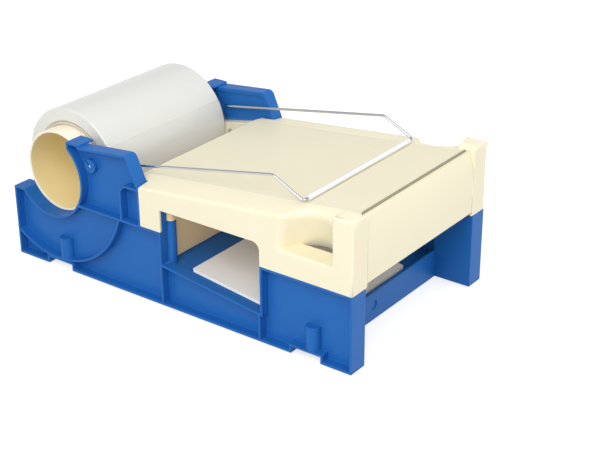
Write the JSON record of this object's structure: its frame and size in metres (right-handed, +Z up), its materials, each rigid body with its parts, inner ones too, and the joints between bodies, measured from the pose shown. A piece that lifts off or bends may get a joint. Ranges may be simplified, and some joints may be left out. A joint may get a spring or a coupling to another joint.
{
  "type": "label protection tape dispenser",
  "caption": "Table-top dispenser for wide clear tape, with a sloping cover and cutter, a label tray below it, a tape roll in an open cradle behind it, and a wire bail with a roller.",
  "frame": {"origin": "on the ground, under the middle of the object's bounding box", "axes": "+Z up, -Y to the front with the cutter, +Y to the tape roll, +X to the right seen from the front; the roll's axis is along X"},
  "size_m": [0.202, 0.378, 0.1432],
  "materials": {
    "blue_plastic": "satin moulded blue",
    "cream_plastic": "fine satin cream",
    "blade_steel": "brushed",
    "screw_steel": "zinc plated",
    "foot_rubber": "matte",
    "spindle_plastic": "smooth cream",
    "core_board": "wound board",
    "tape_film": "glossy wound film",
    "leader_film": "clear thin film",
    "bail_steel": "bright drawn wire",
    "roller_plastic": "clear tube",
    "label_paper": "plain white"
  },
  "bodies": {
    "frame": {"left_side_frame": "blue_plastic", "right_side_frame": "blue_plastic", "label_tray": "blue_plastic", "roll_shelf": "cream_plastic", "top_cover": "cream_plastic", "cutter_blade": "blade_steel", "blade_screws": "screw_steel", "cover_screws": "screw_steel", "tray_screws": "screw_steel", "shelf_screws": "screw_steel", "front_left_foot": "foot_rubber", "front_right_foot": "foot_rubber", "rear_left_foot": "foot_rubber", "rear_right_foot": "foot_rubber", "label_stack": "label_paper", "tape_leader": "leader_film"},
    "spindle": {"roll_spindle": "spindle_plastic"},
    "tape": {"tape_core": "core_board", "tape_roll": "tape_film"},
    "bail": {"bail_wire": "bail_steel"},
    "roller": {"bail_roller": "roller_plastic"}
  },
  "joints": [
    {"name": "roll_lift", "type": "slide", "parent": "frame", "child": "spindle", "axis": [0, 0.6157, 0.788], "range_m": [0, 0.08]},
    {"name": "roll_spin", "type": "hinge", "parent": "spindle", "child": "tape", "pos_m": [0, 0.136, 0.0895], "axis": [1, 0, 0], "continuous": true},
    {"name": "bail_swing", "type": "hinge", "parent": "frame", "child": "bail", "pos_m": [0, 0.088, 0.1087], "axis": [-1, 0, 0], "range_deg": [0, 98]},
    {"name": "roller_spin", "type": "hinge", "parent": "bail", "child": "roller", "pos_m": [0, -0.1274, 0.12741], "axis": [1, 0, 0], "continuous": true}
  ]
}
